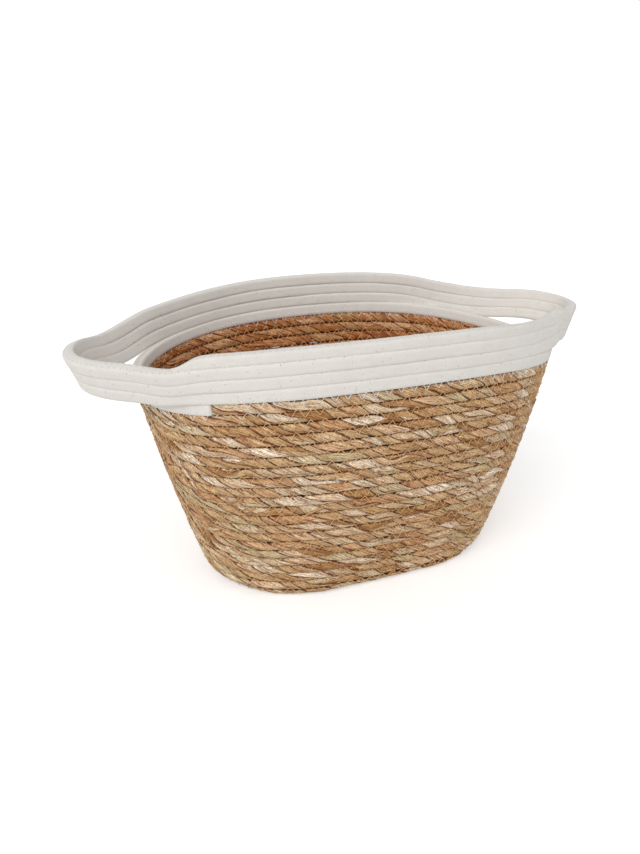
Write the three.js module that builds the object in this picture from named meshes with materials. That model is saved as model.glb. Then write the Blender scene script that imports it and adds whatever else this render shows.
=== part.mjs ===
// An oval basket, machine sewn from one straw rope and one cotton rope.
//
// The straw rope winds out from the middle of the floor, turns up at the foot and
// climbs the wall. The cotton rope takes over where the straw ends and winds the rim.
// Above its first turn it bows out at both ends of the oval, which makes the handles.
// Zigzag seams join every turn to the next: gold thread on straw, white on cotton.
//
// Millimetres, +Z up. The basket stands on Z = 0, with its long axis along X.

import * as THREE from 'three';

// Ropes
const strawPitch = 8;            // from one straw turn to the next
const cottonPitch = 8.2;         // from one cotton turn to the next
const turnClearance = 0.8;       // from flat to flat of two turns, where the wall is straight
const restFlatShare = 0.1;       // share of the rope's diameter that is pressed flat on the table
const turnGap = 0.45;            // least clear space between two turns, in a bend
const pieceGap = 0.35;           // clear space where two pieces meet end to end

// Wall, measured along its slope from the edge of the flat floor
const wallLength = 170.6;        // to the border between straw and cotton, on the splice's clockwise side
const floorHalfLength = 102.7;   // to the edge of the flat floor
const floorHalfWidth = 62.5;
const footRadiusEnds = 14;       // bend between floor and wall, at the ends of the oval
const footRadiusSides = 8.1;
const leanEnds = THREE.MathUtils.degToRad(18);      // from upright, just over the foot
const leanSides = THREE.MathUtils.degToRad(16.75);
const leanGainEnds = THREE.MathUtils.degToRad(-5.9);    // change of lean up to the border
const leanGainSides = THREE.MathUtils.degToRad(-8.8);
const ovalPowerFoot = 2.62;      // 2 is an ellipse, more is squarer
const ovalPowerRim = 2.34;
const floorArcSpan = THREE.MathUtils.degToRad(72);  // plan angle from an end to where its half round starts
const rimSag = 7.5;              // how much lower the border hangs at the ends than at the sides
const spliceAngle = THREE.MathUtils.degToRad(-139);     // plan angle where straw meets cotton
const footTurns = 2;             // turns of the floor's coil that already climb the wall

// Rim. The cotton rope gets thinner towards its end, which lies on top of the last turn.
const cottonTurns = 4;
const tailLength = 13;           // end of the cotton rope, past the splice
const slimFrom = 3.5;            // turns between which the rope gets thinner
const slimTo = 3.8;
const slimScale = 0.82;          // thickness after that, as a share
const tailEndScale = 0.25;       // thickness of its tip

// Handles. Places are measured across the oval, forwards for the left handle and back
// for the right one. A bow falls off from its tip on both sides, the sharper the higher
// its power. Waves raise or lower the free rope, and a pinch draws the upper turns in.
const bowStart = 0.96;           // turns between which the rope leaves the wall
const bowFull = 1.05;
const handles = {
  left: {
    side: -1,
    reach: 39.2,
    footShare: 0.9,              // bow of its lowest rope edge, as a share of the reach
    lift: 1.4,
    tip: 0.5,
    lead: { span: 102.7, power: 1.7 },
    trail: { span: 97.1, power: 1.7 },
    cling: 0.64,                 // how much longer its lowest turn keeps to the wall
    waves: [{ rise: -4.5, at: -48, span: 30 }, { rise: -2.9, at: 67, span: 25 }],
  },
  right: {
    side: 1,
    reach: 52.2,
    footShare: 0.89,
    lift: -4.5,
    tip: 23.2,
    lead: { span: 113.5, power: 3.1 },
    trail: { span: 100.2, power: 2.6 },
    cling: 0,
    waves: [{ rise: 7, at: -65, span: 35 }, { rise: -5, at: 72, span: 34 }],
    pinch: { inward: 14, at: -74, span: 50 },
  },
};
const sideFade = 60;             // distance from the middle at which handles take full effect
const waveStart = 2;             // openings between which waves take full effect
const waveFull = 12;

// Seams
const threadRadius = 0.6;
const threadClearance = 0.36;    // from the thread to the two ropes that it lies between
const floorThreadExtra = 0.1;    // more of it on the floor, where the turns curve most
const slotMouth = 1.5;           // opening of a hand slot at which the rim's seam stops

// Facets
const stepsPerTurn = 20;
const sectionSides = 6;
const threadSides = 3;
const shortestStep = 0.2 / stepsPerTurn;
const handleSpan = 0.6;          // cosine of the plan angle inside which the facets are finer

const fullTurn = 2 * Math.PI;
const strawAcross = strawPitch - turnClearance;     // across the flats of its six-sided section
const cottonAcross = cottonPitch - turnClearance;

const straw = { color: 0xaa8b69, roughness: 0.85, metalness: 0 };
const cotton = { color: 0xdfdbd4, roughness: 0.95, metalness: 0 };
const goldThread = { color: 0xc9a86b, roughness: 0.6, metalness: 0 };
const whiteThread = { color: 0xf1eee8, roughness: 0.7, metalness: 0 };

// A six-sided section whose corners, not its flats, face out of the wall.
const cornerRadius = (across) => across / 2 / Math.cos(Math.PI / sectionSides);
const restHeight = cornerRadius(strawAcross) - restFlatShare * strawAcross;

// Reach and height of the wall at one slope distance, in an upright plane through the middle.
function wallProfile(slope, floorHalf, footRadius, lean, leanGain) {
  const bendEnd = Math.PI / 2 - lean;
  const bend = THREE.MathUtils.clamp(slope / footRadius, 0, bendEnd);
  const rest = Math.max(0, slope - bendEnd * footRadius);
  const straight = wallLength - bendEnd * footRadius;
  const leanHere = lean + leanGain * rest / straight;
  const spread = straight / leanGain;
  return {
    reach: floorHalf + Math.min(0, slope) + footRadius * Math.sin(bend)
      + spread * (Math.cos(lean) - Math.cos(leanHere)),
    height: footRadius * (1 - Math.cos(bend)) + spread * (Math.sin(leanHere) - Math.sin(lean)),
  };
}

// Plan of a rope wound round a straight core: two half rounds and two straight runs.
function stadium(halfLength, halfWidth, angle) {
  const turned = Math.atan2(Math.sin(angle), Math.cos(angle));
  const folded = Math.min(Math.abs(turned), Math.PI - Math.abs(turned));
  const normalAngle = Math.min(1, folded / floorArcSpan) * Math.PI / 2;
  const run = THREE.MathUtils.clamp((Math.PI / 2 - folded) / (Math.PI / 2 - floorArcSpan), 0, 1);
  return new THREE.Vector2(
    Math.sign(Math.cos(angle)) * ((halfLength - halfWidth) * run + halfWidth * Math.cos(normalAngle)),
    Math.sign(Math.sin(angle)) * halfWidth * Math.sin(normalAngle),
  );
}

// Plan of the wall: a squarish oval, rounder towards the rim.
function oval(halfLength, halfWidth, power, angle) {
  const c = Math.cos(angle);
  const s = Math.sin(angle);
  return new THREE.Vector2(
    halfLength * Math.sign(c) * Math.abs(c) ** (2 / power),
    halfWidth * Math.sign(s) * Math.abs(s) ** (2 / power),
  );
}

// Centre of the rope at a slope distance and a plan angle. The floor's stadiums pass over
// into the wall's ovals round the foot.
function bodyPoint(slope, angle) {
  const ends = wallProfile(slope, floorHalfLength, footRadiusEnds, leanEnds, leanGainEnds);
  const sides = wallProfile(slope, floorHalfWidth, footRadiusSides, leanSides, leanGainSides);
  const up = Math.max(0, slope / wallLength);
  const power = ovalPowerFoot + (ovalPowerRim - ovalPowerFoot) * up;
  const share = THREE.MathUtils.smoothstep(slope, -0.5 * strawPitch, 3.5 * strawPitch);
  const plan = stadium(ends.reach, sides.reach, angle);
  plan.lerp(oval(ends.reach, sides.reach, power, angle), share);
  const endShare = Math.cos(angle) ** 2;
  const sag = rimSag * (0.5 - endShare) * up * up;
  return new THREE.Vector3(
    plan.x,
    plan.y,
    ends.height * endShare + sides.height * (1 - endShare) + sag + restHeight,
  );
}

// A rounded bump, 1 in its middle and 0 beyond its half span.
function bump(offset, span, power = 2) {
  const share = Math.abs(offset) / span;
  return share < 1 ? Math.cos(share * Math.PI / 2) ** power : 0;
}

// How far a free cotton turn bows out at a handle, from 0 to 1.
function handleBow(handle, point) {
  const across = point.y * handle.side - handle.tip;
  const half = across < 0 ? handle.lead : handle.trail;
  return bump(across, half.span, half.power)
    * THREE.MathUtils.smoothstep(point.x * handle.side, 0, sideFade);
}

// Turns are counted from the splice: straw turns are below 0 and cotton turns above.
const turnAngle = (turn) => spliceAngle - fullTurn * turn;
const turnAt = (angle) => ((spliceAngle - angle) / fullTurn % 1 + 1) % 1;
const strawSlope = (turn) => wallLength - strawPitch / 2 + strawPitch * turn;

// The first cotton turn climbs far enough to clear both the straw's end and its own start.
const firstClimb = Math.max(strawPitch, cottonPitch);
function cottonSlope(turn) {
  const climb = firstClimb * Math.min(turn, 1) + cottonPitch * Math.max(turn - 1, 0);
  return wallLength - strawPitch + cottonPitch / 2 + climb;
}

// The floor's pitch is set so that its first run of rope lies along the middle.
const footTurn = -Math.floor(strawSlope(0) / strawPitch - footTurns) - (Math.PI - spliceAngle) / fullTurn % 1;
const floorEdgeTurn = footTurn - footTurns;
const floorEdgeRadius = floorHalfWidth + strawSlope(floorEdgeTurn);
const floorTurns = Math.round(floorEdgeRadius / strawPitch - 0.5) + 0.5;
const floorPitch = floorEdgeRadius / floorTurns;
const startTurn = floorEdgeTurn - floorTurns + 0.5 / stepsPerTurn;

function strawPoint(turn, lift = 0) {
  const past = Math.max(0, floorEdgeTurn - turn);
  const slope = strawSlope(turn) + past * (strawPitch - floorPitch);
  const pitch = past > 0 ? floorPitch : strawPitch;
  return bodyPoint(slope + lift * pitch, turnAngle(turn));
}

// The facets of all turns meet on common spokes, at round plan angles.
const firstSpoke = turnAngle(0) / fullTurn * stepsPerTurn;
const spokeTurn = (spoke) => (firstSpoke - spoke) / stepsPerTurn;
const onSpoke = (turn) => spokeTurn(Math.round(firstSpoke - turn * stepsPerTurn));

// Turn numbers on the spokes, with the two ends as given.
function turnsBetween(from, to, splits = () => 1) {
  const turns = [from];
  const start = Math.floor(firstSpoke - from * stepsPerTurn);
  for (let spoke = start; spokeTurn(spoke + 1) < to; spoke -= 1) {
    const parts = splits(spokeTurn(spoke + 0.5));
    for (let part = 0; part < parts; part += 1) {
      const turn = spokeTurn(spoke + 1 - part / parts);
      if (turn > from + shortestStep && turn < to - shortestStep) turns.push(turn);
    }
  }
  turns.push(to);
  return [...new Set(turns)].sort((a, b) => a - b);
}

// Twice as many steps where the cotton bows out.
const splitAtHandles = (turn) => (Math.abs(Math.cos(turnAngle(turn))) > handleSpan ? 2 : 1);

const pathLength = (points) => points.slice(1).reduce((sum, p, i) => sum + p.distanceTo(points[i]), 0);

// The rope is cut square at the splice. Its last turn is slimmer and ends in a tapered tail.
const rimTurn = turnsBetween(0, 1).map((turn) => bodyPoint(cottonSlope(turn), turnAngle(turn)));
const rimLength = pathLength(rimTurn);
const tailTurns = tailLength / rimLength;
const cottonEnd = cottonTurns + tailTurns;
function cottonScale(turn) {
  const slim = THREE.MathUtils.smoothstep(turn, slimFrom, slimTo) * (1 - slimScale);
  const taper = THREE.MathUtils.smoothstep(turn, cottonTurns, cottonEnd) * (slimScale - tailEndScale);
  return 1 - slim - taper;
}

// The bow comes on top of the plain oval, and the turns above lean further out. Where the
// rope is slimmer it lies lower, so that it still rests on the turn below.
function cottonPoint(turn, lift = 0) {
  const slope = cottonSlope(turn) - (1 - cottonScale(turn)) * cottonAcross / 2;
  const point = bodyPoint(slope + lift * cottonPitch, turnAngle(turn));
  const free = THREE.MathUtils.smoothstep(turn, bowStart, bowFull);
  for (const handle of Object.values(handles)) {
    const place = point.y * handle.side;
    const row = turn + lift - turnAt(handle.side > 0 ? 0 : Math.PI);
    const rise = THREE.MathUtils.clamp((row - 0.5) / (cottonTurns - 1), 0, 1);
    const bow = handleBow(handle, point) ** (1 + handle.cling * (1 - rise)) * free;
    const open = bow * handle.reach * (handle.footShare + (1 - handle.footShare) * rise);
    const far = THREE.MathUtils.smoothstep(point.x * handle.side, 0, sideFade) * free;
    const { pinch } = handle;
    const drawn = pinch ? far * rise * pinch.inward * bump(place - pinch.at, pinch.span) : 0;
    point.x += handle.side * (open - drawn);
    point.z += bow * handle.lift;
    for (const wave of handle.waves) {
      const weight = far * THREE.MathUtils.smoothstep(open, waveStart, waveFull);
      point.z += weight * wave.rise * bump(place - wave.at, wave.span);
    }
  }
  return point;
}

// Centre, outward and upward directions at each station of a wound rope or thread.
function stationsAlong(turns, place) {
  const nudge = 0.002;
  return turns.map((turn) => {
    const centre = place(turn, 0);
    const along = place(turn + nudge, 0).sub(place(turn - nudge, 0)).normalize();
    const up = place(turn, 0.02).sub(place(turn, -0.02));
    up.addScaledVector(along, -up.dot(along)).normalize();
    const out = new THREE.Vector3().crossVectors(up, along).normalize();
    return { turn, centre, along, up, out };
  });
}

// Extrudes a section along stations that bring their own directions.
class WoundPath extends THREE.Curve {
  constructor(stations, scale) {
    super();
    this.stations = stations;
    this.scale = scale;
  }

  getSpacedPoints() {
    return this.stations.map((station) => station.centre);
  }

  computeFrenetFrames() {
    return {
      tangents: this.stations.map((station) => station.along),
      normals: this.stations.map((s) => s.out.clone().multiplyScalar(this.scale(s.turn))),
      binormals: this.stations.map((s) => s.up.clone().multiplyScalar(this.scale(s.turn))),
    };
  }
}

function polygon(sides, radius) {
  const corners = [];
  for (let i = 0; i < sides; i += 1) {
    const angle = fullTurn * i / sides;
    corners.push(new THREE.Vector2(radius * Math.cos(angle), radius * Math.sin(angle)));
  }
  return corners;
}

// The same section with the corner that faces out of the wall, or down, cut flat.
function flattened(corners, limit) {
  const cut = [];
  corners.forEach((corner, i) => {
    if (corner.x <= limit) {
      cut.push(corner);
      return;
    }
    for (const next of [corners.at(i - 1), corners[(i + 1) % corners.length]]) {
      const share = (limit - next.x) / (corner.x - next.x);
      cut.push(new THREE.Vector2(limit, THREE.MathUtils.lerp(next.y, corner.y, share)));
    }
  });
  return cut;
}

function woundMesh(name, look, stations, corners, scale = () => 1) {
  const path = new WoundPath(stations, scale);
  const geometry = new THREE.ExtrudeGeometry(new THREE.Shape(corners), {
    steps: stations.length - 1,
    extrudePath: path,
  });
  geometry.deleteAttribute('uv');
  const mesh = new THREE.Mesh(geometry, new THREE.MeshStandardMaterial(look));
  mesh.name = name;
  return mesh;
}

// Least distance from a tube to its own neighbouring turns, on points over its facets.
function leastGap(stations, corners, scale = () => 1) {
  const between = 4;
  const nearOneTurn = 0.06;
  const rings = [];
  for (let i = 0; i + 1 < stations.length; i += 1) {
    for (let k = 0; k < between; k += 1) {
      const share = k / between;
      const ring = [];
      for (let c = 0; c < corners.length; c += 1) {
        for (const half of [0, 0.5]) {
          const corner = corners[c].clone().lerp(corners[(c + 1) % corners.length], half);
          const [a, b] = [stations[i], stations[i + 1]].map((s) => s.centre.clone()
            .addScaledVector(s.out, corner.x * scale(s.turn))
            .addScaledVector(s.up, corner.y * scale(s.turn)));
          ring.push(a.lerp(b, share));
        }
      }
      rings.push({ turn: THREE.MathUtils.lerp(stations[i].turn, stations[i + 1].turn, share), ring });
    }
  }
  let least = Infinity;
  for (let i = 0; i < rings.length; i += 1) {
    for (let j = i + 1; j < rings.length; j += 1) {
      const apart = rings[j].turn - rings[i].turn;
      if (apart > 1 + nearOneTurn) break;
      if (apart > 1 - nearOneTurn) {
        for (const p of rings[i].ring) {
          for (const q of rings[j].ring) least = Math.min(least, p.distanceToSquared(q));
        }
      }
    }
  }
  return Math.sqrt(least);
}

const strawCorners = polygon(sectionSides, cornerRadius(strawAcross));
const floorCorners = flattened(strawCorners, restHeight);
const cottonCorners = polygon(sectionSides, cornerRadius(cottonAcross));
const threadCorners = polygon(threadSides, threadRadius);

// Six-sided ropes meet corner to corner inside the foot's bend, so they are slimmer there.
const footBend = footRadiusSides * (Math.PI / 2 - leanSides);
const bendChord = 2 * footRadiusSides * Math.sin(strawPitch / footRadiusSides / 2);
const bendHalf = strawPitch / footRadiusSides / 2;
const bendNeed = strawAcross * (Math.cos(bendHalf) + Math.tan(Math.PI / 6) * Math.sin(bendHalf));
const footShare = Math.min(1, (bendChord - turnGap) / bendNeed);
function strawScale(turn) {
  const slope = strawSlope(turn);
  const bent = THREE.MathUtils.smoothstep(slope, -1.5 * strawPitch, -0.5 * strawPitch)
    * (1 - THREE.MathUtils.smoothstep(slope, footBend + strawPitch * 0.6, footBend + strawPitch * 1.6));
  return 1 - (1 - footShare) * bent;
}

const spliceGap = pieceGap / rimLength;
const floorStations = stationsAlong(turnsBetween(startTurn, footTurn - spliceGap), strawPoint);
const wallStations = stationsAlong(turnsBetween(footTurn, -spliceGap), strawPoint);
const rimStations = stationsAlong(turnsBetween(0, cottonEnd, splitAtHandles), cottonPoint);

const basket = new THREE.Group();
basket.name = 'oval_coiled_basket';
basket.add(
  woundMesh('floor_coil', straw, floorStations, floorCorners, strawScale),
  woundMesh('wall_coil', straw, wallStations, strawCorners, strawScale),
  woundMesh('rim_and_handle_rope', cotton, rimStations, cottonCorners, cottonScale),
);

// A seam thread lies in the groove between a turn and the next one, a little off both ropes.
const grooveAngle = Math.PI / sectionSides;
function grooveDepth(across, pitch) {
  const mouth = (pitch - across) / 2;
  const floor = across / 2 * Math.tan(Math.PI / sectionSides);
  const need = threadRadius + threadClearance;
  return floor + (need - mouth * Math.sin(grooveAngle)) / Math.cos(grooveAngle);
}

function seamMesh(name, look, from, to, place, depth, splits) {
  const turns = turnsBetween(onSpoke(from), onSpoke(to), splits);
  const seam = stationsAlong(turns, (turn, lift) => place(turn, lift + 0.5));
  for (const station of seam) station.centre.addScaledVector(station.out, depth);
  return woundMesh(name, look, seam, threadCorners);
}

const strawDepth = grooveDepth(strawAcross, strawPitch);
const floorDepth = strawDepth + floorThreadExtra;
const cottonDepth = grooveDepth(cottonAcross, cottonPitch);
basket.add(
  seamMesh('floor_seam_thread', goldThread, startTurn + 1, floorEdgeTurn - 1, strawPoint, -floorDepth),
  seamMesh('wall_seam_thread', goldThread, floorEdgeTurn, -1 - tailTurns, strawPoint, strawDepth),
);

// The white seam under the rim, and those between its turns, which stop at the hand slots.
const borderPoint = (turn, lift) => cottonPoint(turn, lift - 1);
const betweenTurns = (turn, lift) => cottonPoint(turn, lift).lerp(cottonPoint(turn + 1, lift - 1), 0.5);
function openBy(turn) {
  const point = bodyPoint(cottonSlope(turn), turnAngle(turn));
  return Math.max(...Object.values(handles).map((handle) => handleBow(handle, point) * handle.reach));
}
function slotEdge(turn, direction) {
  const step = 0.002 * direction;
  let edge = turn;
  while (openBy(edge + step) < slotMouth) edge += step;
  return edge;
}
const backMiddle = turnAt(Math.PI / 2);
const frontMiddle = turnAt(-Math.PI / 2);
const frontEnd = Math.min(slotEdge(frontMiddle, 1), 1 - tailTurns);
const whiteSeams = [
  ['border_seam_thread', tailTurns, 1 - tailTurns, borderPoint],
  ['rim_seam_thread_back', slotEdge(backMiddle, -1), slotEdge(backMiddle, 1), cottonPoint],
  ['rim_seam_thread_front', slotEdge(frontMiddle, -1), frontEnd, cottonPoint],
  ['handle_seam_thread', bowFull, cottonTurns - 1 - tailTurns, betweenTurns],
];
for (const [name, from, to, place] of whiteSeams) {
  basket.add(seamMesh(name, whiteThread, from, to, place, cottonDepth, splitAtHandles));
}

const ropes = [
  ['floor_coil', floorStations, floorCorners, strawScale],
  ['wall_coil', wallStations, strawCorners, strawScale],
  ['rim_and_handle_rope', rimStations, cottonCorners, cottonScale],
];
for (const [name, stations, corners, scale] of ropes) {
  console.log('least gap of', name, 'to itself:', leastGap(stations, corners, scale).toFixed(2), 'mm');
}

// The origin lies under the middle of the basket's box.
const middle = new THREE.Box3().setFromObject(basket).getCenter(new THREE.Vector3());
basket.position.set(-middle.x, -middle.y, 0);

export default basket;
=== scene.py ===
# %% [markdown]
# # An oval basket of straw and cotton rope
#
# A coiled basket is one long rope that winds round and round, with a sewing machine's zigzag
# joining each turn to the turn before it. Here a straw rope makes the floor and the wall, and a
# white cotton rope makes the rim and the two handles. The lesson builds the two ropes, the two
# threads and the stray ends of straw, each along the same winding line.

# %% Solids and frame
import functools
import math

import bmesh
import bpy
import numpy as np
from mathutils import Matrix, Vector


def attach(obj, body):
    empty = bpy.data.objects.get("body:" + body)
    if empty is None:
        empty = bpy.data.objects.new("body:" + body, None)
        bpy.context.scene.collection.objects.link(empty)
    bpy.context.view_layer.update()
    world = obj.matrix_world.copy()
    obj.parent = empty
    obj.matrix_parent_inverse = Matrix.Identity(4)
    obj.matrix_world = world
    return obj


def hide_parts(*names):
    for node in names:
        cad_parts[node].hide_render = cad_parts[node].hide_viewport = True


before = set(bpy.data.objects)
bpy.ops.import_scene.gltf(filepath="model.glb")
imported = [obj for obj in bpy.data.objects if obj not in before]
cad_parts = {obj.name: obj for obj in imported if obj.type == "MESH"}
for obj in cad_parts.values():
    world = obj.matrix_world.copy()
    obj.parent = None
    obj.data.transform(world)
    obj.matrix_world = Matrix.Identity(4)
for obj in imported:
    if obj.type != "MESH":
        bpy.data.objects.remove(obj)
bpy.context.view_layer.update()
mm = 0.001

# %% [markdown]
# ## The camera and the light
#
# The photograph was taken from the front, a little to the left and about 22 degrees above the
# horizon. The camera's place and lens were worked out from the ovals of the floor and the rim,
# so they are typed in as numbers. The lens is for the photograph's upright frame, where
# Blender's sensor width is the long side.

# %% Camera
azimuth, elevation = math.radians(-21.98), math.radians(22.5)
aim = Vector((-24.55, 7.45, 98.74)) * mm
camera_distance = 599.3 * mm

camera_data = bpy.data.cameras.new("camera")
camera_data.sensor_width = 36
camera_data.lens = 32.06
camera_data.clip_start = 0.01
camera = bpy.data.objects.new("camera", camera_data)
bpy.context.scene.collection.objects.link(camera)
level = math.cos(elevation)
back = Vector((math.sin(azimuth) * level, -math.cos(azimuth) * level, math.sin(elevation)))
camera.location = aim + back * camera_distance
camera.rotation_mode = "QUATERNION"
camera.rotation_quaternion = back.to_track_quat("Z", "Y")
bpy.context.scene.camera = camera
bpy.context.scene.view_settings.view_transform = "Standard"
print("camera at", [round(v, 4) for v in camera.location])


# %% [markdown]
# Materials are made of shader nodes. One helper adds a node, sets its values and joins it to the
# nodes before it, and another turns the colours that people write, such as `#b8946a`, into the
# linear numbers that the renderer works with. A new material brings the first helper with it,
# already tied to its own tree of nodes.

# %% Helpers for materials
def linear(hex_colour):
    parts = [int(hex_colour[i:i + 2], 16) / 255 for i in (1, 3, 5)]
    return tuple(c / 12.92 if c <= 0.04045 else ((c + 0.055) / 1.055) ** 2.4 for c in parts) + (1,)


def add_node(tree, kind, *inputs, **named):
    """Adds a node. inputs come in the node's own order, and named are settings, or inputs by name.

    An input is a value, a socket, or another node, which stands for its first output.
    """
    node = tree.nodes.new("ShaderNode" + kind)
    places = list(enumerate(inputs))
    for name, value in named.items():
        if hasattr(node, name):
            setattr(node, name, value)
        else:
            places.append((name.replace("_", " "), value))
    for place, value in places:
        if isinstance(value, bpy.types.Node):
            value = value.outputs[0]
        if isinstance(value, bpy.types.NodeSocket):
            tree.links.new(node.inputs[place], value)
        else:
            node.inputs[place].default_value = value
    return node


def new_material(name):
    """Gives a new material and the function that adds a node to it."""
    material = bpy.data.materials.new(name)
    material.use_nodes = True
    material.node_tree.nodes.clear()
    return material, functools.partial(add_node, material.node_tree)


def grain(add, strand, scales, scale=1.0, detail=4.0, roughness=0.65):
    """Noise on the strand map, with a scale for across and for along the rope."""
    stretched = add("Mapping", strand, Scale=(*scales, 1))
    return add("TexNoise", stretched, Scale=scale, Detail=detail, Roughness=roughness)


def close_material(add, colour, height, bump_strength, bump_depth, **values):
    """Joins the colour and the fine relief to the surface, whose other values are given by name."""
    bump = add("Bump", Height=height, Strength=bump_strength, Distance=bump_depth)
    surface = add("BsdfPrincipled", Base_Color=colour, Normal=bump, **values)
    add("OutputMaterial", surface)


# %% [markdown]
# The studio is a white floor under a white sky, with one broad soft lamp from the upper left and
# a weaker one from the right. The floor shows a clean white to the camera and still takes the
# basket's shadow, because its own glow is only added for rays that come from the camera or off a
# shiny surface.

# %% Studio
floor_size = 60
floor_colour = (0.9, 0.9, 0.9, 1)
floor_glow = 0.34
sky_colour = (1, 1, 1, 1)
sky_strength = 0.58


def make_studio():
    material, add = new_material("white_studio_floor")
    path = add("LightPath")
    seen = add("Math", path.outputs["Is Camera Ray"], path.outputs["Is Glossy Ray"], operation="MAXIMUM")
    glow_strength = add("Math", seen, floor_glow, operation="MULTIPLY")
    surface = add("BsdfDiffuse", floor_colour)
    glow = add("Emission", sky_colour, glow_strength)
    add("OutputMaterial", add("AddShader", surface, glow))
    bpy.ops.mesh.primitive_plane_add(size=floor_size, location=(0, 0, 0))
    floor = bpy.context.object
    floor.name = "studio_floor"
    floor.data.materials.append(material)

    world = bpy.data.worlds.new("white_sky")
    bpy.context.scene.world = world
    world.use_nodes = True
    world.node_tree.nodes.clear()
    add = functools.partial(add_node, world.node_tree)
    soft = add("Background", sky_colour, sky_strength)
    seen = add("Background", sky_colour, 1.0)
    add("OutputWorld", add("MixShader", add("LightPath").outputs["Is Camera Ray"], soft, seen))


def add_lamp(name, place, strength, spread):
    """A sun, so that the floor is equally bright everywhere, but as soft as a large window."""
    data = bpy.data.lights.new(name, "SUN")
    data.energy = strength
    data.angle = math.radians(spread)
    lamp = bpy.data.objects.new(name, data)
    lamp.location = place
    lamp.rotation_mode = "QUATERNION"
    lamp.rotation_quaternion = Vector(place).to_track_quat("Z", "Y")
    bpy.context.scene.collection.objects.link(lamp)


make_studio()
add_lamp("key_lamp", (-1.75, -1.45, 1.6), strength=1.5, spread=50)
add_lamp("fill_lamp", (0.9, -1.6, 0.7), strength=0.32, spread=60)
print("studio: floor, sky and 2 lamps")

# %% [markdown]
# ## The line that the ropes follow
#
# Every rope and thread follows one spiral, so its line is worked out once. A turn is counted from
# the splice, where the straw ends and the cotton begins: straw turns are below zero and cotton
# turns above. A turn's number gives its plan angle and its distance along the slope, from the
# edge of the floor up the wall. The wall's outline is a stadium round the straight core of the
# floor and becomes a squarish oval towards the rim.

# %% Sizes
straw_pitch = 8 * mm
cotton_pitch = 8.2 * mm
wall_length = 170.6 * mm
floor_half_length, floor_half_width = 102.7 * mm, 62.5 * mm
foot_radius_ends, foot_radius_sides = 14 * mm, 8.1 * mm
lean_ends, lean_sides = math.radians(18), math.radians(16.75)
lean_gain_ends, lean_gain_sides = math.radians(-5.9), math.radians(-8.8)
power_foot, power_rim = 2.62, 2.34
oval_from, oval_to = -0.5 * straw_pitch, 3.5 * straw_pitch
floor_arc_span = math.radians(72)
rim_sag = 7.5 * mm
rest_height = 3.437 * mm
splice_angle = math.radians(-139)
middle = np.array([5.6628, 0.1855, 0]) * mm
print("floor", round(2 * floor_half_length / mm), "by", round(2 * floor_half_width / mm), "mm")
print("wall, along its slope,", round(wall_length / mm, 1), "mm")

# %% Sizes of the rim and the handles
cotton_turns = 4
cotton_across = 7.4 * mm
tail_length = 13 * mm
slim_from, slim_to, slim_scale, tail_end_scale = 3.5, 3.8, 0.82, 0.25
tail_slope_from, tail_slope_to = -0.006, 0.0155
bow_start, bow_full = 0.96, 1.05
side_fade = 60 * mm
wave_start, wave_full = 2 * mm, 12 * mm
# A bow reaches out and is lifted by so many mm at its tip, whose place is also in mm. foot is the
# lowest turn's share of the reach, and cling makes the lower bows narrower. lead and trail say
# how the bow falls off on both sides of the tip: over what span in mm, and how sharply. waves
# raise the rope and the pinch draws it in, each by a size, at a place and over a span in mm.
handles = [
    {"side": -1, "reach": 39.2, "foot": 0.9, "cling": 0.64, "lift": 1.4,
     "tip": 0.5, "lead": (102.7, 1.7), "trail": (97.1, 1.7),
     "waves": [(-4.5, -48, 30), (-2.9, 67, 25)], "pinch": (0, 0, 50)},
    {"side": 1, "reach": 52.2, "foot": 0.89, "cling": 0, "lift": -4.5,
     "tip": 23.2, "lead": (113.5, 3.1), "trail": (100.2, 2.6),
     "waves": [(7, -65, 35), (-5, 72, 34)], "pinch": (14, -74, 50)},
]
print("cotton turns", cotton_turns, "and handles", len(handles))


# %% Shape of the wall
def smoothstep(low, high, value):
    share = np.clip((value - low) / (high - low), 0, 1)
    return share * share * (3 - 2 * share)


def wall_profile(slope, floor_half, foot_radius, lean, lean_gain):
    bend_end = math.pi / 2 - lean
    bend = np.clip(slope / foot_radius, 0, bend_end)
    rest = np.maximum(0, slope - bend_end * foot_radius)
    straight = wall_length - bend_end * foot_radius
    lean_here = lean + lean_gain * rest / straight
    spread = straight / lean_gain
    flare = spread * (math.cos(lean) - np.cos(lean_here))
    reach = floor_half + np.minimum(0, slope) + foot_radius * np.sin(bend) + flare
    height = foot_radius * (1 - np.cos(bend)) + spread * (np.sin(lean_here) - math.sin(lean))
    return reach, height


def stadium(half_length, half_width, angle):
    folded = np.abs(np.arctan2(np.sin(angle), np.cos(angle)))
    folded = np.minimum(folded, math.pi - folded)
    normal_angle = np.minimum(1, folded / floor_arc_span) * math.pi / 2
    run = np.clip((math.pi / 2 - folded) / (math.pi / 2 - floor_arc_span), 0, 1)
    x = np.sign(np.cos(angle)) * ((half_length - half_width) * run + half_width * np.cos(normal_angle))
    return x, np.sign(np.sin(angle)) * half_width * np.sin(normal_angle)


def oval(half_length, half_width, power, angle):
    c, s = np.cos(angle), np.sin(angle)
    return (half_length * np.sign(c) * np.abs(c) ** (2 / power),
            half_width * np.sign(s) * np.abs(s) ** (2 / power))


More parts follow.
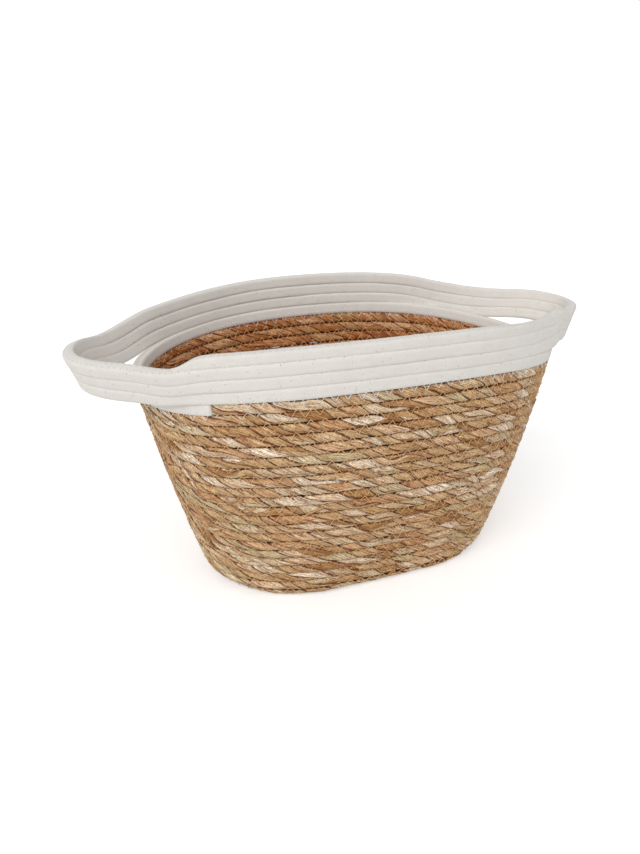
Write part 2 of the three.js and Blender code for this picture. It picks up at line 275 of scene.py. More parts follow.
def body_point(slope, angle):
    ends = floor_half_length, foot_radius_ends, lean_ends, lean_gain_ends
    sides = floor_half_width, foot_radius_sides, lean_sides, lean_gain_sides
    reach_ends, height_ends = wall_profile(slope, *ends)
    reach_sides, height_sides = wall_profile(slope, *sides)
    up = np.maximum(0, slope / wall_length)
    power = power_foot + (power_rim - power_foot) * up
    share = smoothstep(oval_from, oval_to, slope)
    x0, y0 = stadium(reach_ends, reach_sides, angle)
    x1, y1 = oval(reach_ends, reach_sides, power, angle)
    end_share = np.cos(angle) ** 2
    height = height_ends * end_share + height_sides * (1 - end_share)
    z = height + rim_sag * (0.5 - end_share) * up * up + rest_height
    return np.stack([x0 + (x1 - x0) * share, y0 + (y1 - y0) * share, z], axis=-1)


# %% The straw's line and the cotton's line
foot_turns = 2
turns_to_middle = (math.pi - splice_angle) / (2 * math.pi) % 1
foot_turn = -math.floor((wall_length / straw_pitch - 0.5) - foot_turns) - turns_to_middle
floor_edge_turn = foot_turn - foot_turns
floor_edge_radius = floor_half_width + wall_length - straw_pitch / 2 + straw_pitch * floor_edge_turn
floor_turns = round(floor_edge_radius / straw_pitch - 0.5) + 0.5
floor_pitch = floor_edge_radius / floor_turns
start_gap = 0.025
start_turn = floor_edge_turn - floor_turns + start_gap


def turn_angle(turn):
    return splice_angle - 2 * math.pi * turn


def straw_point(turn, lift=0.0):
    past = np.maximum(0, floor_edge_turn - turn)
    slope = wall_length - straw_pitch / 2 + straw_pitch * turn + past * (straw_pitch - floor_pitch)
    pitch = np.where(past > 0, floor_pitch, straw_pitch)
    return body_point(slope + lift * pitch, turn_angle(turn)) - middle


def bump(offset, span, power=2):
    share = np.abs(offset) / span
    return np.where(share < 1, np.cos(np.minimum(share, 1) * math.pi / 2) ** power, 0)


def handle_bow(handle, point):
    """How far a free cotton turn bows out, from 0 to 1."""
    across = point[..., 1] * handle["side"] / mm - handle["tip"]
    bow = np.where(across < 0, bump(across, *handle["lead"]), bump(across, *handle["trail"]))
    return bow * smoothstep(0, side_fade, point[..., 0] * handle["side"])


def cotton_plain(turn, lift=0.0):
    first_turn = np.maximum(straw_pitch, cotton_pitch) * np.minimum(turn, 1)
    climb = first_turn + cotton_pitch * np.maximum(turn - 1, 0)
    slope = wall_length - straw_pitch + cotton_pitch / 2 + climb + lift * cotton_pitch
    slope = slope - (1 - cotton_scale(turn)) * cotton_across / 2
    return body_point(slope, turn_angle(turn))


def cotton_scale(turn):
    """Thickness of the cotton rope, which gets thinner on its last turn and ends in a tail."""
    slim = smoothstep(slim_from, slim_to, turn) * (1 - slim_scale)
    tail_slope = smoothstep(cotton_turns + tail_slope_from, cotton_turns + tail_slope_to, turn)
    return 1 - slim - tail_slope * (slim_scale - tail_end_scale)


def turn_at(angle):
    return (splice_angle - angle) / (2 * math.pi) % 1


def cotton_point(turn, lift=0.0):
    point = cotton_plain(turn, lift)
    free = smoothstep(bow_start, bow_full, turn)
    for handle in handles:
        side = handle["side"]
        place = point[..., 1] * side / mm
        row = turn + lift - turn_at(0 if side > 0 else math.pi)
        rise = np.clip((row - 0.5) / (cotton_turns - 1), 0, 1)
        bow = handle_bow(handle, point) ** (1 + handle["cling"] * (1 - rise)) * free
        opening = bow * handle["reach"] * (handle["foot"] + (1 - handle["foot"]) * rise)
        far = smoothstep(0, side_fade, point[..., 0] * side) * free
        inward, pinch_at, pinch_span = handle["pinch"]
        drawn = far * rise * inward * bump(place - pinch_at, pinch_span)
        weight = far * smoothstep(wave_start, wave_full, opening * mm)
        waves = sum(size * bump(place - at, span) for size, at, span in handle["waves"])
        raised = bow * handle["lift"] + weight * waves
        point = point + np.stack([side * (opening - drawn), 0 * bow, raised], axis=-1) * mm
    return point - middle


def between_turns(turn, lift=0.0):
    return (cotton_point(turn, lift) + cotton_point(turn + 1, lift - 1)) / 2


print("straw turns", round(-start_turn, 2), "of which on the floor", floor_turns)

# %% [markdown]
# ## Walking along a line at even steps
#
# The spiral's turns get longer as it grows, so even steps in turns would be uneven steps in
# length. The line is first walked in very small steps and measured, and then cut at even
# distances. Each cut gets three directions: along the rope, up the wall and out of the wall.

# %% Stations
fine_steps_a_turn, fewest_fine_steps = 600, 40
small_turn, small_lift = 0.001, 0.02


def stations_along(start, end, step, place):
    fine = np.linspace(start, end, int(abs(end - start) * fine_steps_a_turn) + fewest_fine_steps)
    points = place(fine)
    length = np.concatenate([[0], np.cumsum(np.linalg.norm(np.diff(points, axis=0), axis=1))])
    count = max(2, int(length[-1] / step) + 1)
    distance = np.linspace(0, length[-1], count)
    turn = np.interp(distance, length, fine)
    return turn, distance, directions_at(turn, place)


def directions_at(turn, place):
    centre = place(turn)
    along = place(turn + small_turn) - place(turn - small_turn)
    along /= np.linalg.norm(along, axis=1, keepdims=True)
    up = place(turn, small_lift) - place(turn, -small_lift)
    up -= along * np.sum(up * along, axis=1, keepdims=True)
    up /= np.linalg.norm(up, axis=1, keepdims=True)
    return centre, along, up, np.cross(up, along)


# %% [markdown]
# ## A skin for every rope and thread
#
# A rope could be a curve with a bevel, but its ridges have to follow the twist of the straw. So
# the skin starts as a flat grid, made by Blender, whose columns become the strands and whose rows
# become the stations. The grid's map holds the strand's number and the way along the rope, so
# that a pattern can follow the twist. The points are moved into place round the line, the two
# edges that meet are merged, and the two ends are closed.

# %% Skin
merge_distance = 1e-7


def new_piece(name, mesh, material):
    """Turns a finished mesh into a piece of the basket."""
    mesh.shade_smooth()
    mesh.materials.append(material)
    piece = bpy.data.objects.new(name, mesh)
    bpy.context.scene.collection.objects.link(piece)
    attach(piece, "root")
    print(name, len(mesh.polygons), "faces")
    return piece


def skin(name, rings, across_values, along_values, material, marks=()):
    """rings has a point for each station and column, and its first and last columns meet.

    marks are names with a value for each station and column, which the material reads.
    """
    rows, columns = rings.shape[:2]
    mesh = bpy.data.meshes.new(name)
    bm = bmesh.new()
    bm.loops.layers.uv.new("strand_map")
    bmesh.ops.create_grid(bm, x_segments=columns - 1, y_segments=rows - 1, size=0.5, calc_uvs=True)
    bm.to_mesh(mesh)
    bm.free()
    flat = np.zeros(len(mesh.vertices) * 3)
    mesh.vertices.foreach_get("co", flat)
    flat = flat.reshape(-1, 3)
    column = np.rint((flat[:, 0] + 0.5) * (columns - 1)).astype(int)
    row = np.rint((flat[:, 1] + 0.5) * (rows - 1)).astype(int)
    mesh.vertices.foreach_set("co", rings[row, column].ravel())
    corner = np.zeros(len(mesh.loops), dtype=np.int32)
    mesh.loops.foreach_get("vertex_index", corner)
    across, along = np.asarray(across_values), np.asarray(along_values)
    uv = np.stack([across[column[corner]], along[row[corner]]], axis=1)
    mesh.uv_layers[0].uv.foreach_set("vector", uv.ravel())
    for mark, values in marks:
        mesh.attributes.new(mark, "FLOAT", "POINT").data.foreach_set("value", values[row, column])
    bm = bmesh.new()
    bm.from_mesh(mesh)
    edge_points = [v for v in bm.verts if v.is_boundary]
    bmesh.ops.remove_doubles(bm, verts=edge_points, dist=merge_distance)
    bmesh.ops.holes_fill(bm, edges=[e for e in bm.edges if e.is_boundary], sides=0)
    bmesh.ops.recalc_face_normals(bm, faces=bm.faces)
    bm.to_mesh(mesh)
    bm.free()
    return new_piece(name, mesh, material)


def rope_points(centre, out, up, across, upward):
    """Points round each station, at distances across and upward from its centre."""
    return centre[:, None] + out[:, None] * across[..., None] + up[:, None] * upward[..., None]


def squared_off(c, s, power):
    """Widens a circle towards a square with round corners, the squarer the higher the power."""
    return (np.abs(c) ** power + np.abs(s) ** power) ** (-1 / power)


def slow_noise(distance, knot_spacing, columns, random):
    """Random values that change smoothly along the rope, one column for each strand."""
    knots = int(distance[-1] / knot_spacing) + 3
    values = random.uniform(-1, 1, (knots, columns))
    at = distance / knot_spacing
    low = np.floor(at).astype(int)
    share = (at - low)[:, None]
    share = share * share * (3 - 2 * share)
    return values[low] * (1 - share) + values[low + 1] * share


# %% [markdown]
# ## Straw rope
#
# The straw is dried flat leaf, twisted by hand into a rope about as thick as a pencil. Three
# broad blades lie side by side, and each crosses the front of the rope in a long slant before it
# goes round behind. A blade swells and narrows along its way and rides over the edge of the next
# one. A bump map alone would leave the outline round, so each blade has nine columns of the grid,
# which wind with it.

# %% Shape of the straw rope
lay_length = 49 * mm
straw_radius = 4.08 * mm
straw_squareness = 3.2
blades = 3
# A blade's section: shares of its width, and its heights there in mm.
blade_steps = [0.0, 0.035, 0.13, 0.27, 0.42, 0.57, 0.72, 0.86, 0.96]
blade_heights = [-0.42, -0.12, 0.02, 0.12, 0.0, 0.12, 0.16, 0.14, 0.26]
tucked_share, proud_share = 0.1, 0.05
# What changes along the rope: by how much, and over what length.
width_spread, width_spacing = 0.9, 22 * mm
proud_height, proud_spacing = 0.28 * mm, 9 * mm
gap_depth, gap_threshold, gap_spacing = 1.6 * mm, 0.25, 6 * mm
twist_spread, twist_spacing = 0.13, 28 * mm
sway_out, sway_up, sway_spacing = 0.3 * mm, 0.24 * mm, 26 * mm
# The rope's first end, in the middle of the floor.
early_start = 0.03
end_push, end_push_length = 4.6 * mm, 12 * mm
lowest_straw = 0.02 * mm


def blade_section(distance, random):
    """Each column's share of the way round the rope, its radius, and its number on the strand map."""
    widths = np.exp(width_spread * slow_noise(distance, width_spacing, blades, random))
    edges = np.concatenate([np.zeros((len(distance), 1)), np.cumsum(widths, axis=1)], axis=1)
    edges /= edges[:, -1:]
    proud = slow_noise(distance, proud_spacing, blades, random) * proud_height
    # Here and there a blade's edge stands off and leaves a dark gap.
    gap = np.clip(slow_noise(distance, gap_spacing, blades, random) - gap_threshold, 0, 1) * gap_depth
    shares, radii, across_values = [], [], []
    for blade in range(blades):
        width = edges[:, blade + 1] - edges[:, blade]
        for step_share, step_height in zip(blade_steps, blade_heights):
            shares.append(edges[:, blade] + width * step_share)
            tuck = gap[:, blade] if step_share < tucked_share else 0
            rise = proud[:, blade] * min(1, step_share / proud_share)
            radii.append(straw_radius + step_height * mm + rise - tuck)
            across_values.append(blade + step_share)
    across_values.append(blades)
    return np.stack(shares + shares[:1], axis=1), np.stack(radii + radii[:1], axis=1), across_values


def straw_rope(cuts, step, seed, material):
    """Winds one rope and cuts it. Each cut is a name, a node and the turn where the piece ends."""
    random = np.random.default_rng(seed)
    last_turn = cuts[-1][2]
    stations = stations_along(start_turn - early_start, last_turn, step, straw_point)
    turn, distance, (centre, along, up, out) = stations
    share, radius, across_values = blade_section(distance, random)
    twist = distance / lay_length + twist_spread * slow_noise(distance, twist_spacing, 1, random)[:, 0]
    angle = 2 * math.pi * (share + twist[:, None])
    sway = slow_noise(distance, sway_spacing, 2, random) * [sway_out, sway_up]
    centre = centre + out * sway[:, :1] + up * sway[:, 1:]
    # The rope's first end is pushed straight on into its own first bend, so that the floor has no hole.
    heading = along[np.searchsorted(distance, end_push_length)]
    push = end_push * (1 - smoothstep(0, end_push_length, distance))
    centre = centre - heading * push[:, None]
    c, s = np.cos(angle), np.sin(angle)
    reach = radius * squared_off(c, s, straw_squareness)
    points = rope_points(centre, out, up, reach * c, reach * s)
    points[..., 2] = np.maximum(points[..., 2], lowest_straw)
    print("straw rope, length", round(distance[-1], 2), "m")
    first = 0
    for name, node, end_turn in cuts:
        last = int(np.searchsorted(turn, end_turn)) if end_turn < last_turn else len(turn) - 1
        rows = slice(first, last + 1)
        marks = [("groove", np.abs(s[rows])), ("inside", np.clip(-c[rows], 0, 1))]
        piece = skin(name, points[rows], across_values, distance[rows] / mm, material, marks)
        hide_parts(node)
        first = last


# %% [markdown]
# The leaf is air-dried and not varnished, so it has a faint shine along its veins and no gloss.
# Its colour changes from blade to blade: cream, tan, olive and a few red-brown ones, with fine veins
# about 0.4 mm apart and painted shade on the edges where one blade tucks under the next. The
# material reads the strand map, where the first number counts blades and the second millimetres.

# %% Dried leaf
leaf_length, leaf_slant, leaf_shift = 37, 22, 31.7
leaf_colours = [
    (0.0, "#cba67a"), (0.1, "#e8caa1"), (0.24, "#f4deba"), (0.38, "#e4c99f"), (0.5, "#f9e9cf"),
    (0.62, "#dbcfa7"), (0.72, "#fcf1dd"), (0.84, "#ebcba4"), (0.93, "#dbb389"), (1.0, "#cfa075"),
]


def leaf_ramp(add, chance):
    ramp = add("ValToRGB", chance)
    while len(ramp.color_ramp.elements) < len(leaf_colours):
        ramp.color_ramp.elements.new(0.5)
    for element, (place, colour) in zip(ramp.color_ramp.elements, leaf_colours):
        element.position = place
        element.color = linear(colour)
    return ramp


def dried_leaf():
    material, add = new_material("air_dried_leaf_straw")
    strand = add("UVMap", uv_map="strand_map")
    across, along = add("SeparateXYZ", strand).outputs[:2]
    blade = add("Math", across, operation="FLOOR")
    within = add("Math", across, operation="FRACT")
    # A leaf runs out in a slanting tip after some 40 mm, and the next one lies under it.
    slanted = add("Math", within, leaf_slant, along, operation="MULTIPLY_ADD")
    shifted = add("Math", blade, leaf_shift, slanted, operation="MULTIPLY_ADD")
    length = add("Math", shifted, leaf_length, operation="DIVIDE")
    number = add("Math", length, operation="FLOOR")
    chance = add("TexWhiteNoise", add("CombineXYZ", blade, number), noise_dimensions="3D")
    colour = leaf_ramp(add, chance.outputs["Value"])
    # Some leaves are older and darker than others.
    age = add("SeparateColor", chance.outputs["Color"])
    age_share = add("MapRange", age, 0, 0.8, 0.85, 0.0)
    colour = add("MixRGB", age_share, colour, linear("#d6c0a0"), blend_type="MULTIPLY")
    # Veins: about 20 across a blade of 8 mm, and some 20 mm long.
    veins = grain(add, strand, (20, 0.045), 1.0, 4.0, 0.65)
    vein_share = add("MapRange", veins, 0.34, 0.56, 0.8, 0.0)
    colour = add("MixRGB", vein_share, colour, linear("#b89e7c"), blend_type="MULTIPLY")
    between_veins = add("MapRange", veins, 0.45, 0.65, 1.0, 1.32)
    colour = add("VectorMath", colour, between_veins, operation="MULTIPLY")
    # Weather stains: patches of 3 to 10 mm, redder and darker.
    stains = grain(add, strand, (2.6, 0.09), 1.0, 5.0, 0.7)
    stain_share = add("MapRange", stains, 0.47, 0.7, 0.0, 0.85)
    colour = add("MixRGB", stain_share, colour, linear("#c49a74"), blend_type="MULTIPLY")
    # Folds: the leaf was folded when it was twisted, which leaves a few long brown creases, painted
    # darker with the shade of each fold.
    creases = grain(add, strand, (6.5, 0.035), 1.0, 3.0, 0.55)
    off_middle = add("Math", creases, 0.5, operation="SUBTRACT")
    off_crease = add("Math", off_middle, operation="ABSOLUTE")
    crease_shade_share = add("MapRange", off_crease, 0.0, 0.03, 0.95, 0.0)
    colour = add("MixRGB", crease_shade_share, colour, linear("#753a14"))
    # Painted shade: a dark line under 1 mm wide, darker in places, where a blade's edge tucks under the
    # next blade, and along the slanting edge of a tip, which lies over the next leaf.
    shade_patchiness = grain(add, strand, (3.1, 0.16), 1.0, 3.0, 0.6)
    edge_shade_strength = add("MapRange", shade_patchiness, 0.36, 0.54, 0.4, 1.0)
    edge = add("Math", within, 0.5, operation="PINGPONG")
    near_edge = add("MapRange", edge, 0.0, 0.09, 1.0, 0.0, interpolation_type="SMOOTHSTEP")
    tucked_edge_shade = add("Math", near_edge, edge_shade_strength, operation="MULTIPLY")
    tip = add("Math", length, 0.5, operation="PINGPONG")
    tip_edge_shade = add("MapRange", tip, 0.0, 0.016, 0.95, 0.0)
    overlap_shade_share = add("Math", tucked_edge_shade, tip_edge_shade, operation="MAXIMUM")
    colour = add("MixRGB", overlap_shade_share, colour, linear("#6a3208"))
    # Mottling in streaks under 1 mm wide, and specks.
    mottle = grain(add, strand, (20, 0.045), 2.6, 5.0, 0.75)
    mottle_tone = add("MapRange", mottle, 0.32, 0.68, 0.65, 1.29)
    specks = grain(add, strand, (16, 0.75), 1.0, 3.0, 0.7)
    speck_tone = add("MapRange", specks, 0.34, 0.6, 0.52, 1.16)
    tone = add("Math", mottle_tone, speck_tone, operation="MULTIPLY")
    colour = add("VectorMath", colour, tone, operation="MULTIPLY")
    # Short dark marks, where the leaf was bruised: 1 mm across and up to 5 mm long.
    marks = grain(add, strand, (7, 0.24), 1.0, 2.0, 0.5)
    mark_share = add("MapRange", marks, 0.63, 0.69, 0.0, 0.9, interpolation_type="SMOOTHSTEP")
    colour = add("MixRGB", mark_share, colour, linear("#62300a"))
    # Painted shade in the groove between two turns, together with dust and darker leaf there.
    groove = add("Attribute", attribute_name="groove").outputs["Fac"]
    uneven = add("Math", stains, 0.3, groove, operation="MULTIPLY_ADD")
    groove_shade_and_dust_share = add("MapRange", uneven, 0.9, 1.03, 0.0, 0.95, interpolation_type="SMOOTHSTEP")
    colour = add("MixRGB", groove_shade_and_dust_share, colour, linear("#713604"))
    # Where an edge dips into the groove, a small black patch is painted as the shade of a gap between the
    # turns.
    dip = add("Math", shade_patchiness, 0.9, groove, operation="MULTIPLY_ADD")
    dipped = add("MapRange", dip, 1.2, 1.32, 0.0, 1.0, interpolation_type="SMOOTHSTEP")
    at_edge = add("MapRange", edge, 0.08, 0.3, 0.97, 0.0)
    gap_shade_share = add("Math", dipped, at_edge, operation="MULTIPLY")
    colour = add("MixRGB", gap_shade_share, colour, linear("#2c1001"))
    # Painted shade and warm bounced light: the inside of the basket is painted a darker, redder brown.
    inside = add("Attribute", attribute_name="inside").outputs["Fac"]
    inside_shade_share = add("MapRange", inside, 0.05, 0.5, 0.0, 0.8)
    colour = add("MixRGB", inside_shade_share, colour, linear("#f2c096"), blend_type="MULTIPLY")
    close_material(add, colour, veins, 0.5, 0.0003, Roughness=0.62, Specular_IOR_Level=0.2)
    return material


leaf_material = dried_leaf()
# The floor with the first two turns of the wall is one piece, and the rest of the wall is three,
# so that no piece grows too large.
straw_cuts = [
    ("floor_straw_rope", "floor_coil", foot_turn),
    ("lower_wall_straw_rope", "wall_coil", foot_turn * 0.62),
    ("middle_wall_straw_rope", "wall_coil", foot_turn * 0.3),
    ("upper_wall_straw_rope", "wall_coil", 0),
]
straw_rope(straw_cuts, step=2.0 * mm, seed=3, material=leaf_material)


# %% [markdown]
# Some leaf ends work loose from the rope. Most are narrow strips that taper almost to a point and
# lift off the rope by up to 1.8 mm, and every third is a broad, blunt one that stays closer. A
# strip is a small flat grid, which is laid along the rope and then given the leaf's thickness.

# %% Loose leaf ends
# Ranges of length and width, the most lift, all in mm, and how blunt the end is.
broad_end = ((7, 13), (2.2, 4), 0.7, 0.8)
thin_end = ((6, 16), (0.5, 1.4), 1.8, 0.15)
strip_radius = 4.3 * mm
strip_thickness = 0.12 * mm
# Widths become angles round a radius in mm, and a turn's length is measured on a part of it.
bend_radius = 4.5
measured_turn = 0.005


def on_straw(turn, tilt, radius):
    """A point over the straw rope: tilt is 0 straight out of the wall and a quarter turn at the top."""
    centre, _, up, out = directions_at(np.atleast_1d(turn), straw_point)
    c, s = np.cos(tilt)[..., None], np.sin(tilt)[..., None]
    return centre + (c * out + s * up) * squared_off(c, s, straw_squareness) * radius[..., None]


def loose_leaf_ends(name, count, seed, material):
    random = np.random.default_rng(seed)
    bm = bmesh.new()
    map_layer = bm.loops.layers.uv.new("strand_map")
    for number in range(count):
        turn = foot_turn * random.uniform(0.04, 1) ** 1.1
        lengths, widths, most_lift, bluntness = thin_end if number % 3 else broad_end
        length, width = random.uniform(*lengths), random.uniform(*widths)
        lift = random.uniform(0.2, most_lift) * mm
        # Every fifth strip lies inside the basket.
        facing, sense = (0, 1) if number % 5 else (math.pi, -1)
        tilt, slope = random.uniform(-0.6, 0.6), random.uniform(-0.45, 0.1)
        direction = random.choice([-1, 1])
        stretch = straw_point(turn + measured_turn) - straw_point(turn)
        per_turn = np.linalg.norm(stretch) / measured_turn
        verts = bmesh.ops.create_grid(bm, x_segments=2, y_segments=6, size=0.5, calc_uvs=True)["verts"]
        across, share = np.array([v.co.x for v in verts]), np.array([v.co.y + 0.5 for v in verts])
        side = across * width * (1 - (1 - bluntness) * share) / bend_radius
        tilts = tilt + slope * share * length / bend_radius * direction + side
        turns = turn + direction * share * length * mm / per_turn
        places = on_straw(turns, facing + tilts * sense, strip_radius + lift * share ** 2)
        # Each strip reads a different leaf of the strand map.
        for vertex, place, x, y in zip(verts, places, across, share):
            for loop in vertex.link_loops:
                loop[map_layer].uv = (number * 7 + x * 0.3 + 0.5, y * length)
            vertex.co = Vector(place)
    bmesh.ops.recalc_face_normals(bm, faces=bm.faces)
    bmesh.ops.solidify(bm, geom=bm.faces[:], thickness=strip_thickness)
    mesh = bpy.data.meshes.new(name)
    bm.to_mesh(mesh)
    bm.free()
    new_piece(name, mesh, material)


loose_leaf_ends("loose_straw_ends", count=150, seed=8, material=leaf_material)

# %% [markdown]
# ## Cotton rope
#
# The rim is a bought cotton cord, braided from sixteen yarns over a soft core. It is nearly
# round, but the stitches press its turns together, so it is squarer than the straw and its turns
# run into each other. Its yarns go round the cord both ways and cross every 1.9 mm. The cotton
# isn't bleached, so small brown flecks of seed husk show in it.

# %% Shape of the cotton rope
cotton_radius = 4.22 * mm
cotton_columns = 32
cotton_squareness = 5
cotton_press = 1.12
# The strand map counts so many mm round the cord, and half of the sixteen yarns go each way.
cotton_round = 25.6
yarns = 8
yarn_spacing = 1.9 * mm
yarn_relief = 0.06 * mm
wander_out, wander_up, wander_spacing = 0.28 * mm, 0.14 * mm, 33 * mm
blunt_scale, blunt_length = 0.7, 1.8 * mm
# The part of a turn over which the seam's groove fades out, where nothing is sewn on above.
groove_fade = 0.01
rim_length = stations_along(0, 1, 5 * mm, cotton_plain)[1][-1]
cotton_start = 0.0004
cotton_end = cotton_turns + tail_length / rim_length


def braid_height(around, along):
    """Height of the yarns over the cord, from 0 to 1."""
    one = around * yarns + along / yarn_spacing
    other = around * yarns - along / yarn_spacing
    over = np.sin(math.pi * one) ** 2
    under = np.sin(math.pi * other) ** 2
    return np.maximum(over, under)


def cotton_rope(name, start, end, step, seed, material):
    random = np.random.default_rng(seed)
    turn, distance, (centre, _, up, out) = stations_along(start, end, step, cotton_point)
    # A sewn cord is never quite straight: it wanders a little in and out and up and down.
    wander = slow_noise(distance, wander_spacing, 2, random) * [wander_out, wander_up]
    centre = centre + out * wander[:, :1] + up * wander[:, 1:]
    share = np.arange(cotton_columns + 1) / cotton_columns
    angle = 2 * math.pi * np.where(share == 1, 0, share)[None, :]
    c, s = np.cos(angle), np.sin(angle)
    braid = yarn_relief * braid_height(share[None, :], distance[:, None])
    blunt = blunt_scale + (1 - blunt_scale) * smoothstep(0, blunt_length, distance)
    scale = (cotton_scale(turn) * blunt)[:, None] * squared_off(c, s, cotton_squareness)
    radius = (cotton_radius - yarn_relief + braid) * scale
    points = rope_points(centre, out, up, radius * c, radius * s * cotton_press)
    print(name, "length", round(distance[-1], 2), "m")
    # The seam's groove runs above and below a turn, but not over the rim's top edge.
    top_turn = cotton_turns - 1
    joined_above = smoothstep(top_turn, top_turn - groove_fade, turn)[:, None]
    groove = np.where(s > 0, s * joined_above, -s)
    return skin(name, points, share * cotton_round, distance / mm, material, [("groove", groove)])


# %% [markdown]
# Cotton that isn't bleached is a warm, matte white. A picture of the braid would blur close by,
# so its crossing yarns are drawn by two waves that run round the cord both ways. The stitches
# pull the turns together, so the seam is a groove with a row of short dashes in it and a row of
# needle holes on each side.

# %% Braided cotton
hole_row, hole_spacing = 1.9, 4.3
dash_spacing = 1.7


def braided_cotton():
    material, add = new_material("unbleached_cotton_braid")
    strand = add("UVMap", uv_map="strand_map")
    around, along = add("SeparateXYZ", strand).outputs[:2]
    cloud = add("TexNoise", strand, Scale=0.09, Detail=3.0)
    colour = add("MixRGB", cloud, linear("#e8e4de"), linear("#dcd8d1"))
    # Yarn shading: pairs of waves that run round the cord both ways.
    waves = []
    for sign in (1, -1):
        slant = sign * cotton_round / yarns / (yarn_spacing / mm)
        sloped = add("Math", along, slant, around, operation="MULTIPLY_ADD")
        phase = add("Math", sloped, math.pi * yarns / cotton_round, operation="MULTIPLY")
        waves.append(add("Math", phase, operation="SINE"))
    crossed = add("Math", *waves, operation="MULTIPLY")
    yarn = add("Math", crossed, operation="ABSOLUTE")
    yarn_tone = add("MapRange", yarn, 0.0, 0.5, 1.0, 0.955)
    colour = add("VectorMath", colour, yarn_tone, operation="MULTIPLY")
    fuzz = grain(add, strand, (1, 1), 2.2, 4.0, 0.7)
    fuzz_tone = add("MapRange", fuzz, 0.35, 0.65, 0.95, 1.04)
    colour = add("VectorMath", colour, fuzz_tone, operation="MULTIPLY")
    # Brown husk flecks, about 0.6 mm wide and a few mm apart.
    cells = add("Mapping", strand, Scale=(0.3, 0.22, 1))
    flecks = add("TexVoronoi", cells, Scale=1.0)
    fleck_share = add("MapRange", flecks.outputs["Distance"], 0.07, 0.14, 0.5, 0.0)
    colour = add("MixRGB", fleck_share, colour, linear("#9a8672"))
    # Needle holes: small dimples in a row on each side of the groove, 2 mm from it, darkened with painted
    # shade.
    half_round = add("Math", around, cotton_round / 2, operation="PINGPONG")
    off_quarter = add("Math", half_round, cotton_round / 4, operation="SUBTRACT")
    off_groove = add("Math", off_quarter, cotton_round / 4, operation="PINGPONG")
    off_row = add("Math", off_groove, hole_row, operation="SUBTRACT")
    off_hole = add("Math", along, hole_spacing / 2, operation="PINGPONG")
    hole_square = add("Math", off_hole, off_hole, operation="MULTIPLY")
    square = add("Math", off_row, off_row, hole_square, operation="MULTIPLY_ADD")
    hole = add("MapRange", square, 0.1, 0.75, 1.0, 0.0, interpolation_type="SMOOTHSTEP")
    hole_shade_share = add("Math", hole, 0.28, operation="MULTIPLY")
    colour = add("MixRGB", hole_shade_share, colour, linear("#b3a596"))
    # The seam's groove shows as a line of short brownish dashes, 1.7 mm apart.
    groove = add("Attribute", attribute_name="groove").outputs["Fac"]
    in_groove = add("MapRange", groove, 0.93, 0.98, 0.0, 1.0, interpolation_type="SMOOTHSTEP")
    off_dash = add("Math", along, dash_spacing / 2, operation="PINGPONG")
    dash = add("MapRange", off_dash, 0.25, 0.55, 0.0, 0.6)
    dash_share = add("Math", in_groove, dash, operation="MULTIPLY")
    colour = add("MixRGB", dash_share, colour, linear("#c6ab93"))
    fibres = add("Math", yarn, fuzz, operation="ADD")
    height = add("Math", fibres, hole, operation="SUBTRACT")
    close_material(add, colour, height, 0.4, 0.0004, Roughness=0.92, Specular_IOR_Level=0.2,
                   Sheen_Weight=0.25, Sheen_Roughness=0.5)
    return material


cotton_material = braided_cotton()
rim_rope = cotton_rope("rim_and_handle_cotton_rope", cotton_start, cotton_end,
                       step=1.3 * mm, seed=6, material=cotton_material)
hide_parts("rim_and_handle_rope")

# %% [markdown]
# ## The zigzag seams
#
# The machine's needle swings from one turn to the next, so its thread makes a row of V's over
# each groove, one about every 9 mm, on the outside and again on the inside. Where the needle
# goes in, the thread dips into the rope. A thread is a four-sided tube, because there are
# thousands of stitches and the thread is only half a millimetre thick.

# %% Stitches
stitch_length = 8.8 * mm
stitch_half_width = 3.3 * mm
stitch_spread = 0.78, 1.16
corner_play = 0.5 * mm
thread_width = 0.5 * mm
# One leg of a stitch: shares of its length, and how far it stands off the rope there.
leg_shares = np.array([0, 0.06, 0.5, 0.94])
leg_heights = np.array([-0.5, 0.3, -0.25, 0.3]) * mm
# A thread keeps outside this share of the rope's radius, and this far above the ground.
deepest_share = 0.78
lowest_thread = 0.25 * mm
seam_step = 1 * mm


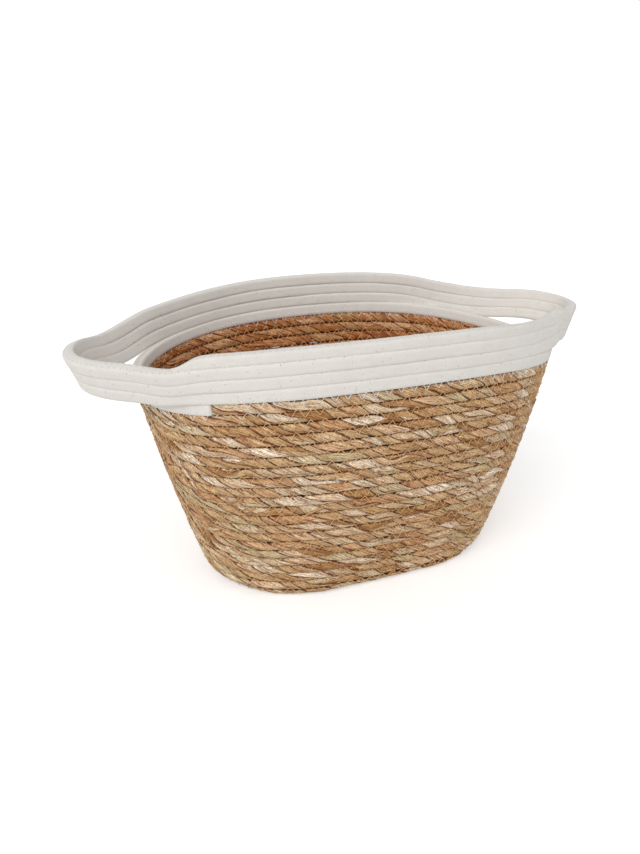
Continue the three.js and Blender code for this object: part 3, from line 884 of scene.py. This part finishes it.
def zigzag(name, start, end, place, rope_radius, side, material, nodes, seed,
           half_width=stitch_half_width, drop=0.0):
    """side is 1 on the outside of the basket and -1 on the inside."""
    def seam(turn, lift=0.0):
        return place(turn, lift + 0.5)

    random = np.random.default_rng(seed)
    fine, distance, _ = stations_along(start, end, seam_step, seam)
    legs = int(distance[-1] / (stitch_length / 2))
    play = random.uniform(-corner_play, corner_play, legs + 1)
    corners = np.arange(legs + 1) * stitch_length / 2 + play
    sign = np.where(np.arange(legs + 1) % 2 == 0, 1, -1)
    swing = sign * half_width * random.uniform(*stitch_spread, legs + 1)
    at = (corners[:-1, None] + np.diff(corners)[:, None] * leg_shares).ravel()
    across = (swing[:-1, None] + np.diff(swing)[:, None] * leg_shares).ravel() - drop
    at = np.clip(at, 0, distance[-1])
    centre, _, up, out = directions_at(np.interp(at, distance, fine), seam)
    surface = np.sqrt(np.maximum(rope_radius ** 2 - (straw_pitch / 2 - np.abs(across)) ** 2, 0))
    lift_out = np.maximum(surface + np.tile(leg_heights, legs), rope_radius * deepest_share)
    path = centre + up * across[:, None] + out * side * lift_out[:, None]
    path[:, 2] = np.maximum(path[:, 2], lowest_thread)
    tangent = np.gradient(path, axis=0)
    tangent /= np.linalg.norm(tangent, axis=1, keepdims=True)
    away = out * side - tangent * np.sum(out * side * tangent, axis=1, keepdims=True)
    away /= np.linalg.norm(away, axis=1, keepdims=True)
    beside = np.cross(tangent, away)
    corner = np.array([[0, 1, 2, 3, 0]]) * math.pi / 2
    radius = thread_width / 2
    rings = rope_points(path, away, -beside, radius * np.cos(corner), radius * np.sin(corner))
    piece = skin(name, rings, np.arange(5) / 4, at / mm, material)
    if nodes:
        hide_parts(*nodes)


# %% [markdown]
# Both threads are spun from short polyester fibres, which give them a soft sheen and no gloss.
# The twisted plies could be modelled, but at half a millimetre fine slanting ridges are enough.

# %% Spun thread
def spun_thread(name, colour):
    material, add = new_material(name)
    strand = add("UVMap", uv_map="strand_map")
    # The ridges are 0.8 mm apart.
    space = add("Mapping", strand, Scale=(2, 1.6, 1))
    plies = add("TexWave", space, Scale=0.5, Distortion=0.5, bands_direction="DIAGONAL")
    shade = tuple(c * 0.8 for c in linear(colour)[:3]) + (1,)
    tone = add("MixRGB", plies, shade, linear(colour))
    close_material(add, tone, plies, 0.4, 0.0001, Roughness=0.5, Sheen_Weight=0.2)
    return material


gold = spun_thread("gold_polyester_thread", "#f0bf80")
white = spun_thread("white_polyester_thread", "#f4f1ea")
print("threads:", gold.name, "and", white.name)

# %% [markdown]
# The gold thread joins each straw turn to the next, on the floor and up the wall. Its zigzag
# shows on both sides, so the same function makes it four times, each time with its own small
# unevenness.

# %% Gold seams
straw_seam_end = -1.045
floor_seam = start_turn + 1, floor_edge_turn - 1
wall_seam = floor_edge_turn - 1, straw_seam_end
# A name, the first and last turn, the side, the nodes that it stands in for, a seed and a drop.
gold_seams = [
    ("outer_wall", wall_seam, 1, ["wall_seam_thread"], 21, 0.5 * mm),
    ("inner_wall", wall_seam, -1, [], 22, 0.0),
    ("inner_floor", floor_seam, -1, ["floor_seam_thread"], 23, 0.0),
    ("outer_floor", floor_seam, 1, [], 24, 0.0),
]
for label, (start, end), side, nodes, seed, drop in gold_seams:
    zigzag(f"{label}_gold_stitches", start, end, straw_point, straw_radius, side, gold,
           nodes, seed, drop=drop)


# %% [markdown]
# The white thread joins the straw to the cotton and the cotton's turns to each other. A hand
# slot leaves nothing to sew, so its two ends are looked for along the rim, and the rim's seam is
# made between the slots, once at the back and once at the front.

# %% White seams
bow_to_count = 1.5
edge_step = 0.002


def border_point(turn, lift=0.0):
    return cotton_point(turn, lift - 1)


def slot_edge(turn, direction):
    """Walks from a turn to the place where a hand slot begins."""
    while True:
        point = cotton_plain(np.array([turn]))
        if max(float(handle_bow(h, point)[0]) * h["reach"] for h in handles) > bow_to_count:
            return turn - edge_step * direction
        turn += edge_step * direction


back_middle = (splice_angle - math.pi / 2) / (2 * math.pi) % 1
front_middle = (splice_angle + math.pi / 2) / (2 * math.pi) % 1
back_seam = slot_edge(back_middle, -1), slot_edge(back_middle, 1)
front_seam = slot_edge(front_middle, -1), min(slot_edge(front_middle, 1), 1)
narrow_stitch = 1.5 * mm
pressed_radius = cotton_radius - 0.15 * mm
# A name, the first and last turn, the line, the rope's radius, half the stitch's width and a node.
white_seams = [
    ("first", (-1.04, -0.998), straw_point, straw_radius, 2.1 * mm, "border_seam_thread"),
    ("border", (0.002, 0.985), border_point, cotton_radius, 3.4 * mm, "border_seam_thread"),
    ("back_rim", back_seam, cotton_point, pressed_radius, narrow_stitch, "rim_seam_thread_back"),
    ("front_rim", front_seam, cotton_point, pressed_radius, narrow_stitch, "rim_seam_thread_front"),
    ("handle", (1.0, cotton_end - 1), between_turns, pressed_radius, narrow_stitch, "handle_seam_thread"),
]
for label, (start, end), place, radius, half_width, node in white_seams:
    for side, word, seed in ((1, "outer", 31), (-1, "inner", 32)):
        zigzag(f"{word}_{label}_white_stitches", start, end, place, radius, side, white,
               [node], seed, half_width)
